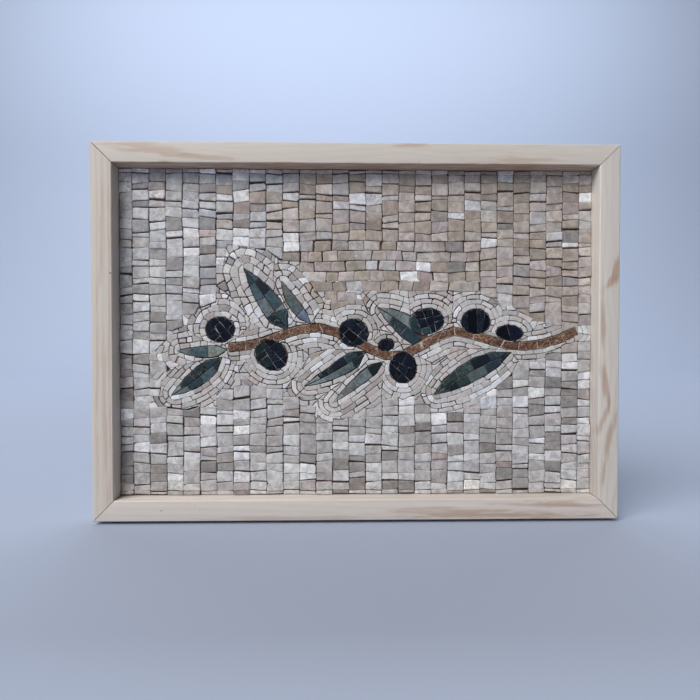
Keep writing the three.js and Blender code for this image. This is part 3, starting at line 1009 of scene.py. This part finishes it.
# From tip to base
LEAF_ROWS = {
    "leaf_1_row_2": [("teal", 0.0), ("steel", 0.24), ("grey", 0.48), ("deep", 0.72)],
    "leaf_1_row_1": [("steel", 0.0), ("navy", 0.22), ("steel", 0.44), ("teal", 0.7)],
    "leaf_2": [("drab", 0.0), ("moss", 0.33), ("violet", 0.7)],
    "leaf_3": [("grey", 0.0), ("steel", 0.28), ("sage", 0.62)],
    "leaf_4_row_1": [("mist", 0.0), ("slate", 0.2), ("deep", 0.44), ("teal", 0.72)],
    "leaf_4_row_2": [("grey", 0.0), ("teal", 0.28), ("steel", 0.55), ("slate", 0.8)],
    "leaf_5_row_1": [("mist", 0.0), ("navy", 0.24), ("navy", 0.46), ("teal", 0.7), ("deep", 0.87)],
    "leaf_5_row_2": [("mist", 0.0), ("grey", 0.3), ("moss", 0.5), ("deep", 0.76)],
    "leaf_6": [("mist", 0.0), ("drab", 0.22), ("grey", 0.46), ("deep", 0.74)],
    "leaf_7_row_1": [("mist", 0.0), ("grey", 0.3), ("mist", 0.6)],
    "leaf_7_row_2": [("mist", 0.0), ("slate", 0.3), ("teal", 0.62)],
    "leaf_8_row_1": [("deep", 0.0), ("green", 0.16), ("green", 0.34), ("navy", 0.54), ("slate", 0.76)],
    "leaf_8_row_2": [("slate", 0.0), ("deep", 0.15), ("green", 0.3), ("moss", 0.44), ("slate", 0.66),
                     ("deep", 0.84)],
}
# Where each leaf grows from
BASES = {"leaf_1": (-43, 2), "leaf_2": (-29, 5), "leaf_3": (-79, -11), "leaf_4": (-83, -15),
         "leaf_5": (5, -11.5), "leaf_6": (16.5, -17.5), "leaf_7": (41, -5), "leaf_8": (95, -12)}
print("rows:", len(LEAF_ROWS), "stones in them:", sum(len(stones) for stones in LEAF_ROWS.values()))

# %% Cut and set the leaves
LEAF_CORNER_SHARE = 0.2
LEAF_TILT = 9
TILT_SCATTER = 91.7
LEAST_LEAF_STONE = 2
LEAF_LIGHT = (0.88, 1.1)
LEAF_CUT = {"lean": 0.016, "arris": 0.16, "wobble": 0.035, "crumb": 0.24}


def long_way(outline, base):
    """The direction of a row from its tip to its base"""
    middle = outline.mean(0)
    _, _, axes = np.linalg.svd(outline - middle)
    along = axes[0]
    return along if along @ (np.array(base) - middle) > 0 else -along


for name, stones in LEAF_ROWS.items():
    outline, out = figure_faces[name]
    along = long_way(outline, BASES[name[:6]])
    reach = outline @ along
    start, length = reach.min(), reach.max() - reach.min()
    ends = [share for _, share in stones[1:]] + [1.0]
    whole = softened(outline, LEAF_CORNER_SHARE)
    tray = Tray()
    for (marble_name, share), end in zip(stones, ends):
        stone = whole
        for edge, sign in ((share, -1), (end, 1)):
            if 0 < edge < 1:
                tilt = math.sin(edge * TILT_SCATTER + len(name)) * LEAF_TILT
                at = outline.mean(0) + along * (start + edge * length - outline.mean(0) @ along)
                stone = cut(stone, at, sign * turned(along, tilt))
        if len(stone) and area(stone) > LEAST_LEAF_STONE:
            colour = linear(*GREENS[marble_name]) * chance.uniform(*LEAF_LIGHT)
            stone = inset(stone, chance.uniform(*HAIR_JOINT))
            tray.set_stone(stone, out + chance.uniform(*SPRIG_RISE), colour, chance, **LEAF_CUT)
    tray.piece(name + "_stones", leaf_marble, [name])

# %% [markdown]
# ## The branch
#
# The branch is a single line of rust-brown stone, broken into lengths of eight to twelve millimetres
# with pale joints. The stone is coarse: brown, orange and cream grains about half a millimetre wide.
# A cell pattern gives each grain its own colour, and a rough bump catches the light like broken stone.

# %% Make the finish of the branch
# Each grain's colour, from the darkest to the palest, with its place from 0 to 1
GRAINS = ((0.1, (46, 30, 24)), (0.34, (88, 56, 41)), (0.56, (122, 82, 58)), (0.78, (156, 118, 92)),
          (0.97, (202, 180, 162)))


def granular(name):
    stone = Finish(name)
    paint = stone.add("Attribute", {}, attribute_name="stone").outputs
    grains = stone.add("TexVoronoi", {"Vector": stone.spot, "Scale": 1500.0, "Randomness": 1.0})
    grain = stone.add("SeparateColor", {0: grains.outputs["Color"]}).outputs
    large = stone.noise(stone.spot, 420.0, 3.0, 0.6)
    patch = stone.between(stone.noise(stone.spot, 120.0, 2.0), 0.35, 0.65, -0.1, 0.16)
    mottled = stone.math("MULTIPLY_ADD", grain[0], 0.62, patch)
    ramp = stone.add("ValToRGB", {0: stone.math("ADD", mottled, stone.math("MULTIPLY", large, 0.4))})
    while len(ramp.color_ramp.elements) < len(GRAINS):
        ramp.color_ramp.elements.new(0.5)
    for element, (place, colour) in zip(ramp.color_ramp.elements, GRAINS):
        element.position = place
        element.color = opaque(*colour)
    colour = stone.mix(1.0, ramp.outputs["Color"], paint["Color"], "MULTIPLY")
    stone.set(stone.shader, {"Base Color": colour, "Roughness": stone.between(grain[1], 0, 1, 0.45, 0.75)})
    stone.bump(stone.math("ADD", grain[2], large), 0.6, 0.0002)
    return stone.material


branch_stone = granular("branch_stone")
print("grain colours:", len(GRAINS))

# %% Cut and set the branch
CUT_LENGTHS = (7.5, 12.0)
LAST_CUT = 4
BEND_REACH = 9
STEEPEST = 0.5
CUT_LEAN = 0.15
LEAST_BRANCH_STONE = 4
BRANCH_JOINT = 0.15
BRANCH_RISE = (-0.15, 0.1)
BRANCH_LIGHT = (0.72, 0.98)
BRANCH_CUT = {"lean": 0.02, "arris": 0.2, "wobble": 0.1, "crumb": 0.16}


def cross_cuts(outline, chance):
    """A band cut across into short stones, by planes that follow the band as it bends"""
    left, right = outline[:, 0].min(), outline[:, 0].max()
    x = left + chance.uniform(*CUT_LENGTHS)
    places = []
    while x < right - LAST_CUT:
        places.append(x)
        x += chance.uniform(*CUT_LENGTHS)
    stones = []
    rest = outline
    for x in places:
        near = outline[abs(outline[:, 0] - x) < BEND_REACH]
        slope = np.clip(np.polyfit(near[:, 0], near[:, 1], 1)[0], -STEEPEST, STEEPEST)
        away = np.array([1, slope]) / math.hypot(1, slope)
        leaning = np.array([away[0], away[1] + chance.uniform(-CUT_LEAN, CUT_LEAN)])
        at = np.array([x, np.interp(x, *np.array(sorted(map(tuple, outline))).T)])
        stones.append(cut(rest, at, leaning))
        rest = cut(rest, at, -leaning)
    return stones + [rest]


for name in ("branch_1", "branch_2"):
    outline, out = figure_faces[name]
    tray = Tray()
    for stone in cross_cuts(outline, chance):
        if len(stone) and area(stone) > LEAST_BRANCH_STONE:
            colour = np.ones(3) * chance.uniform(*BRANCH_LIGHT)
            top = out + chance.uniform(*BRANCH_RISE)
            tray.set_stone(inset(stone, BRANCH_JOINT), top, colour, chance, **BRANCH_CUT)
    tray.piece(name + "_stones", branch_stone, [name])

# %% [markdown]
# ## The outline stones
#
# Round every part of the sprig run two to four courses of thin pale stones, like ripples. To lay them,
# a fine net of points covers the outline field. Each point belongs to the nearest part of the sprig,
# to a course by its distance from it, and to a stone by how far along the course it lies. Points with
# the same three answers form one stone, and its border is then drawn with a few straight cuts.

# %% Cover the outline field with a net
NET = 0.25
REMNANT_GROWTH = 0.25
INNER_COURSES = 5.0


def within(outline, gx, gz):
    """Which points of a net lie inside an outline"""
    inside = np.zeros(gx.shape, bool)
    for a, b in zip(outline, np.roll(outline, -1, 0)):
        crosses = (a[1] > gz) != (b[1] > gz)
        inside ^= crosses & (gx < a[0] + (gz - a[1]) * (b[0] - a[0]) / (b[1] - a[1] + 1e-12))
    return inside


def field_net():
    """The points of a fine net that lie in the outline field or in a remnant beside it"""
    low, high = corners_in_mm("outline_field_1")
    xs = np.arange(low[0] - NEAR_SPRIG, high[0] + NEAR_SPRIG, NET)
    zs = np.arange(low[2] - NEAR_SPRIG, high[2] + NEAR_SPRIG, NET)
    covered = np.zeros((len(zs), len(xs)), bool)
    front = front_triangles("outline_field_1")[:, :, [0, 2]]
    for shape in [*front, *(inset(remnant, -REMNANT_GROWTH) for remnant in remnants)]:
        i0, i1 = np.searchsorted(xs, [shape[:, 0].min(), shape[:, 0].max()])
        j0, j1 = np.searchsorted(zs, [shape[:, 1].min(), shape[:, 1].max()])
        gx, gz = np.meshgrid(xs[i0:i1], zs[j0:j1])
        covered[j0:j1, i0:i1] |= within(shape, gx, gz)
    beside = np.zeros(covered.shape, bool)
    for axis, step in ((0, 1), (0, -1), (1, 1), (1, -1)):
        beside |= np.roll(covered, step, axis)
    for j, i in zip(*np.nonzero(beside & ~covered)):
        covered[j, i] = to_sprig(xs[i], zs[j]) > INNER_COURSES
    return xs, zs, covered


xs, zs, covered = field_net()
rows_in, columns_in = np.nonzero(covered)
points = np.c_[xs[columns_in], zs[rows_in]]
found = [tree.find((x, z, 0)) for x, z in points]
nearest = np.array([(spot[0], spot[1]) for spot, _, _ in found])
owner = owners[[index for _, index, _ in found]]
apart = points - nearest
away = np.linalg.norm(apart, axis=1)
print("net points:", len(points), "farthest from the sprig:", round(float(away.max()), 1), "mm")

# %% [markdown]
# Round most parts the courses lie evenly. Round a few parts at the left they are wider and wilder,
# with short stones, and round two of the lower leaves the stones are long.

# %% Number the stones of every course
COURSE = 3.15
WIDE_COURSES = {"leaf_1_row_1": 4.4, "leaf_1_row_2": 4.4, "leaf_2": 4.2, "olive_1": 3.8, "leaf_3": 3.5}
LONG_STONED = ("leaf_5", "leaf_6")
# How stones are laid: the limits of their lengths, how far the courses bend and over what length, how
# many times the ends of the stones wander, and how far the ends lean
EVEN = ((5.0, 10.0), 0.22, 6.0, 1, 0.2)
LONG = ((7.0, 13.0), 0.22, 6.0, 1, 0.2)
WILD = ((3.8, 7.0), 0.55, 3.2, 3, 0.35)
END_WANDER = 0.18
WANDER_LENGTH = 2.0
LEAN_CHANGE = 0.41
PART_STEP = 100000
COURSE_STEP = 1000

angle = np.arctan2(apart[:, 1], apart[:, 0])
angle = owner[:, 2] + (angle - owner[:, 2] + math.pi) % (2 * math.pi) - math.pi
chance = np.random.default_rng(19)
label = np.zeros(len(points), int)
for number, name in enumerate(figures):
    own = owner[:, 0] == number
    if not own.any():
        continue
    width = WIDE_COURSES.get(name, COURSE)
    laid = WILD if name in WIDE_COURSES else LONG if name[:6] in LONG_STONED else EVEN
    lengths, bend, bend_length, wander, end_lean = laid
    bent = away[own] + bend * ripple(points[own, 0], points[own, 1], bend_length, number + 1)
    most = max(1, round(away[own].max() / width))
    course = np.clip((bent / width).astype(int), 0, most - 1)
    for k in range(most):
        ours = course == k
        if not ours.any():
            continue
        middle = (k + 0.5) * width
        x, z = points[own][ours].T
        walk = owner[own, 1][ours] + angle[own][ours] * middle
        walk += END_WANDER * ripple(x, z, WANDER_LENGTH, number + k + 5) * wander
        walk += (bent[ours] - middle) * np.sin(walk * LEAN_CHANGE + k) * end_lean
        cuts = [walk.min() - 1]
        while cuts[-1] < walk.max() + 1:
            cuts.append(cuts[-1] + chance.uniform(*lengths))
        index = np.searchsorted(cuts, walk)
        label[np.nonzero(own)[0][ours]] = number * PART_STEP + k * COURSE_STEP + index
net = np.full((len(zs), len(xs)), -1)
net[rows_in, columns_in] = label
print("numbers used:", len(np.unique(label)))

# %% [markdown]
# Two points belong to one stone only where they also touch, so a number that occurs in two places
# gives two stones. Slivers that are too small to cut go to the neighbour they share most border with.

# %% Join the points that touch


def connected(values):
    """A number for every group of touching points that share a value, and -1 outside"""
    group = np.where(values >= 0, np.arange(values.size).reshape(values.shape), -1)
    while True:
        before = group.copy()
        for axis in (0, 1):
            for step in (1, -1):
                moved = np.roll(group, step, axis)
                same = (np.roll(values, step, axis) == values) & (values >= 0)
                edge = [slice(None), slice(None)]
                edge[axis] = 0 if step == 1 else -1
                same[tuple(edge)] = False
                group = np.where(same, np.maximum(group, moved), group)
        if (before == group).all():
            return group


groups = connected(net)
print("groups of points:", len(np.unique(groups)) - 1)

# %% Give away the slivers
LEAST_STONE = 4.5
MOST_ROUNDS = 4


def shared_borders(group, small):
    """For each small group, how many steps of border it shares with each neighbour"""
    borders = {}
    for here, there in ((group[:-1], group[1:]), (group[:, :-1], group[:, 1:])):
        for a, b in ((here, there), (there, here)):
            touch = (a != b) & (a >= 0) & (b >= 0) & np.isin(a, small)
            pairs, counts = np.unique(np.c_[a[touch], b[touch]], axis=0, return_counts=True)
            for (value, other), count in zip(pairs, counts):
                shared = borders.setdefault(value, {})
                shared[other] = shared.get(other, 0) + int(count)
    return borders


def give_away(group, least):
    """Groups smaller than least, in square millimetres, join the neighbour with the longest border"""
    for _ in range(MOST_ROUNDS):
        values, sizes = np.unique(group[group >= 0], return_counts=True)
        small = values[sizes * NET * NET < least]
        if not len(small):
            break
        size_of = dict(zip(values, sizes))
        borders = shared_borders(group, small)
        for value in sorted(borders, key=lambda v: size_of[v]):
            others = {o: c for o, c in borders[value].items() if size_of.get(o, 0) >= size_of[value]}
            if others:
                group[group == value] = max(sorted(others), key=lambda o: others[o])
    return group


groups = give_away(groups, LEAST_STONE)
print("outline stones:", len(np.unique(groups)) - 1)

# %% [markdown]
# The border of a group runs in tiny steps along the net. Keeping only the points that matter, and
# dropping any that lie within 0.3 mm of a straight line, leaves the few straight cuts that a pair of
# nippers makes.

# %% Walk the borders of the groups


def borders_of(group):
    """The stepped border of every group, walked with the group on its left"""
    padded = np.pad(group, 1, constant_values=-1)
    edges = {}
    sides = ((0, -1, (0, 0), (1, 0)), (1, 0, (1, 0), (1, 1)), (0, 1, (1, 1), (0, 1)), (-1, 0, (0, 1), (0, 0)))
    for dx, dz, start, end in sides:
        there = np.roll(padded, (-dz, -dx), (0, 1))
        j, i = np.nonzero((padded >= 0) & (padded != there))
        for value, x, z in zip(padded[j, i], i - 1, j - 1):
            steps = edges.setdefault(value, {})
            steps.setdefault((x + start[0], z + start[1]), []).append((x + end[0], z + end[1]))
    return edges


def chained(edges):
    """The longest closed walk along one group's border"""
    best = []
    while edges:
        start = next(iter(edges))
        walk, spot = [start], start
        while True:
            options = edges[spot]
            after = options.pop()
            if not options:
                del edges[spot]
            if after == start or after not in edges:
                break
            walk.append(after)
            spot = after
        if len(walk) > len(best):
            best = walk
    return np.array(best, float)


walks = [chained(edges) for _, edges in sorted(borders_of(groups).items())]
print("borders:", len(walks), "points in them:", sum(len(walk) for walk in walks))

# %% Draw each border with straight cuts
CUT_SLACK = 0.3
LEAST_DRAWN = 1.5


def farthest(walk, point):
    return int(np.argmax(np.linalg.norm(walk - point, axis=1)))


def few_cuts(walk, slack):
    """The points of a closed walk that matter, dropping those within slack of a straight line"""
    walk = np.roll(walk, -farthest(walk, walk[farthest(walk, walk[0])]), 0)
    far = farthest(walk, walk[0])
    closed = np.concatenate([walk, walk[:1]])

    def keep(a, b):
        if b - a < 2:
            return []
        chord = closed[b] - closed[a]
        length = np.linalg.norm(chord) + 1e-9
        between = closed[a + 1:b] - closed[a]
        off = abs(chord[0] * between[:, 1] - chord[1] * between[:, 0]) / length
        worst = int(np.argmax(off))
        if off[worst] < slack:
            return []
        middle = a + 1 + worst
        return keep(a, middle) + [middle] + keep(middle, b)

    kept = [0] + keep(0, far) + [far] + keep(far, len(closed) - 1)
    return closed[kept]


outline_stones = []
for walk in walks:
    stone = few_cuts(walk, CUT_SLACK / NET)
    stone = np.c_[xs[0] + (stone[:, 0] - 0.5) * NET, zs[0] + (stone[:, 1] - 0.5) * NET]
    if len(stone) > 2 and area(stone) > LEAST_DRAWN:
        outline_stones.append(stone)
print("outline stones drawn:", len(outline_stones))

# %% [markdown]
# Most outline stones come from a heap of pale marble, and a quarter from one with whiter and darker
# kinds. At the field's rim half of them are of the ground's own marble, so that the two run together.

# %% Set the outline stones
PALE = heap_of((201, 199, 197), (196, 192, 188), (188, 185, 182), (198, 191, 188), (208, 206, 205))
PALE_EXTRA = heap_of((222, 223, 226), (178, 173, 169), (168, 160, 156), (190, 180, 176))
PALE_SHARE = 0.74
OUTLINE_LIGHT = (1.05, 0.06)
OUTLINE_JOINT = (0.06, 0.42)
OUTLINE_FAVOUR = 1.8
MIXED_FROM = 9.5
MIXED_SHARE = 0.5
OUTLINE_RISE = (-0.36, 0.34)
OUTLINE_CUT = {"lean": 0.038, "arris": 0.2, "wobble": 0.05, "crumb": 0.4}

tray = Tray()
_, face_out = outline_of("outline_field_1")
for stone in outline_stones:
    x, z = stone.mean(0)
    heap = PALE if chance.random() < PALE_SHARE else PALE_EXTRA
    colour = picked(heap, OUTLINE_LIGHT, chance)
    if to_sprig(x, z) > MIXED_FROM and chance.random() < MIXED_SHARE:
        colour = ground_colour(x, z, chance)
    stone = drift(inset(stone, joints(OUTLINE_JOINT, OUTLINE_FAVOUR, chance)))
    tray.set_stone(stone, face_out + chance.uniform(*OUTLINE_RISE), colour, chance, **OUTLINE_CUT)
tray.piece("outline_stones", outline_marble, ["outline_field_1"])
print("points in the outline stones:", tray.total)

# %% [markdown]
# ## Adhesive
#
# The stones are pressed into a bed of adhesive. It rises a little between them, grey-brown and in
# shade, so joints look dark. Within the olives, leaves and branch a paler adhesive comes up almost to
# the surface.

# %% Mix the adhesives


def mortar(name, colour, other, patch_scale):
    paste = Finish(name)
    patch = paste.between(paste.noise(paste.spot, patch_scale, 3.0), 0.4, 0.62)
    grit = paste.noise(paste.spot, 1500.0, 3.0, 0.7)
    tone = paste.mix(patch, opaque(*colour), opaque(*other))
    tone = paste.shaded(tone, paste.between(grit, 0.3, 0.7, 0.8, 1.15))
    paste.set(paste.shader, {"Base Color": tone, "Roughness": paste.between(grit, 0.2, 0.8, 0.85, 0.98)})
    paste.bump(grit, 0.7, 0.0003)
    return paste.material


dark_mortar = mortar("dark_mortar", (80, 70, 64), (122, 92, 82), 60.0)
joint_mortars = {
    "olive": mortar("olive_mortar", (168, 166, 164), (58, 60, 66), 260.0),
    "leaf": mortar("leaf_mortar", (128, 134, 130), (72, 80, 78), 220.0),
    "branch": mortar("branch_mortar", (208, 198, 186), (172, 150, 128), 220.0),
}
print("mortars:", 1 + len(joint_mortars))

# %% [markdown]
# The bed is one closed block. Its top is a net of points that rise and fall, its back is the same net
# laid flat on the board, and a band of faces joins their rims.

# %% Make the bed
BED_OUT = 10.0
BED_STEP = 2.6
BED_WAVES = ((0.5, 3.1, 2), (0.25, 1.4, 5))

low, high = corners_in_mm("adhesive_bed")
across = np.linspace(low[0], high[0], int((high[0] - low[0]) / BED_STEP) + 1)
upward = np.linspace(low[2], high[2], int((high[2] - low[2]) / BED_STEP) + 1)
gx, gz = np.meshgrid(across, upward)
rise = ripples(gx, gz, BED_WAVES, BED_OUT)
columns, rows, top_count = len(across), len(upward), gx.size
bed_points = [*zip(gx.ravel(), -rise.ravel(), gz.ravel()),
              *zip(gx.ravel(), np.full(top_count, high[1]), gz.ravel())]
bed_faces = []
for j in range(rows - 1):
    for i in range(columns - 1):
        a = j * columns + i
        bed_faces.append((a, a + 1, a + columns + 1, a + columns))
        bed_faces.append(tuple(top_count + v for v in (a, a + columns, a + columns + 1, a + 1)))
rim = [*range(columns), *(j * columns + columns - 1 for j in range(1, rows)),
       *range(top_count - 2, top_count - columns - 1, -1), *(j * columns for j in range(rows - 2, 0, -1))]
bed_faces += [(b, a, top_count + a, top_count + b) for a, b in zip(rim, rim[1:] + rim[:1])]
bed = new_object("adhesive_between_stones", np.array(bed_points) * MM, bed_faces, dark_mortar)
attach(bed, "root")
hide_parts("adhesive_bed")
print("bed points:", len(bed_points))

# %% [markdown]
# Each part of the sprig has a raised pad of its own, in the shape of its outline. The pad's top lies
# about a quarter of a millimetre below the stones, and its foot lies in the bed.

# %% Make the pads
PAD_DROP = 0.26
PAD_INSET = 0.05
PAD_FOOT = 1.5 - BED_OUT

for name, (outline, out) in figure_faces.items():
    ring = inset(outline, PAD_INSET)
    count = len(ring)
    pad_points = [(x, PAD_DROP - out, z) for x, z in ring] + [(x, PAD_FOOT, z) for x, z in ring]
    pad_faces = [tuple(range(count)), tuple(range(count, 2 * count))[::-1]]
    pad_faces += [(i, count + i, count + (i + 1) % count, (i + 1) % count) for i in range(count)]
    pad = new_object(name + "_adhesive", np.array(pad_points) * MM, pad_faces,
                     joint_mortars[name.split("_")[0]])
    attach(pad, "root")
print("pads:", len(figure_faces))

# %% [markdown]
# ## The board
#
# The back of the panel is a thin sheet of plywood, flush with the rails. Its face veneer is rotary cut,
# so the grain is broad and wavy. The packed board keeps its shape and only gets this finish.

# %% Finish the board
BANDS = 9.0
BAND_STRENGTH = 0.32


def veneer():
    ply = Finish("birch_plywood")
    long = ply.add("Mapping", {"Vector": ply.spot, "Scale": (6.0, 40.0, 34.0)}).outputs[0]
    wave = ply.noise(long, 1.0, 3.0, 0.5, 1.4)
    band = ply.math("FRACT", ply.math("MULTIPLY", wave, BANDS))
    line = ply.between(ply.math("ABSOLUTE", ply.math("SUBTRACT", band, 0.5)), 0.5, 0.1)
    share = ply.math("MULTIPLY", line, BAND_STRENGTH)
    colour = ply.mix(share, opaque(196, 168, 134), opaque(176, 142, 106))
    fine = ply.add("Mapping", {"Vector": ply.spot, "Scale": (60.0, 900.0, 1800.0)}).outputs[0]
    pore = ply.noise(fine, 1.0, 3.0, 0.6)
    colour = ply.shaded(colour, ply.between(pore, 0.3, 0.7, 0.9, 1.05))
    ply.set(ply.shader, {"Base Color": colour, "Roughness": ply.between(pore, 0.2, 0.8, 0.6, 0.75)})
    ply.bump(pore, 0.2, 0.0001)
    return ply.material


board = nodes["backing_board"]
board.data.materials.clear()
board.data.materials.append(veneer())
print("board finish:", board.data.materials[0].name)

# %% [markdown]
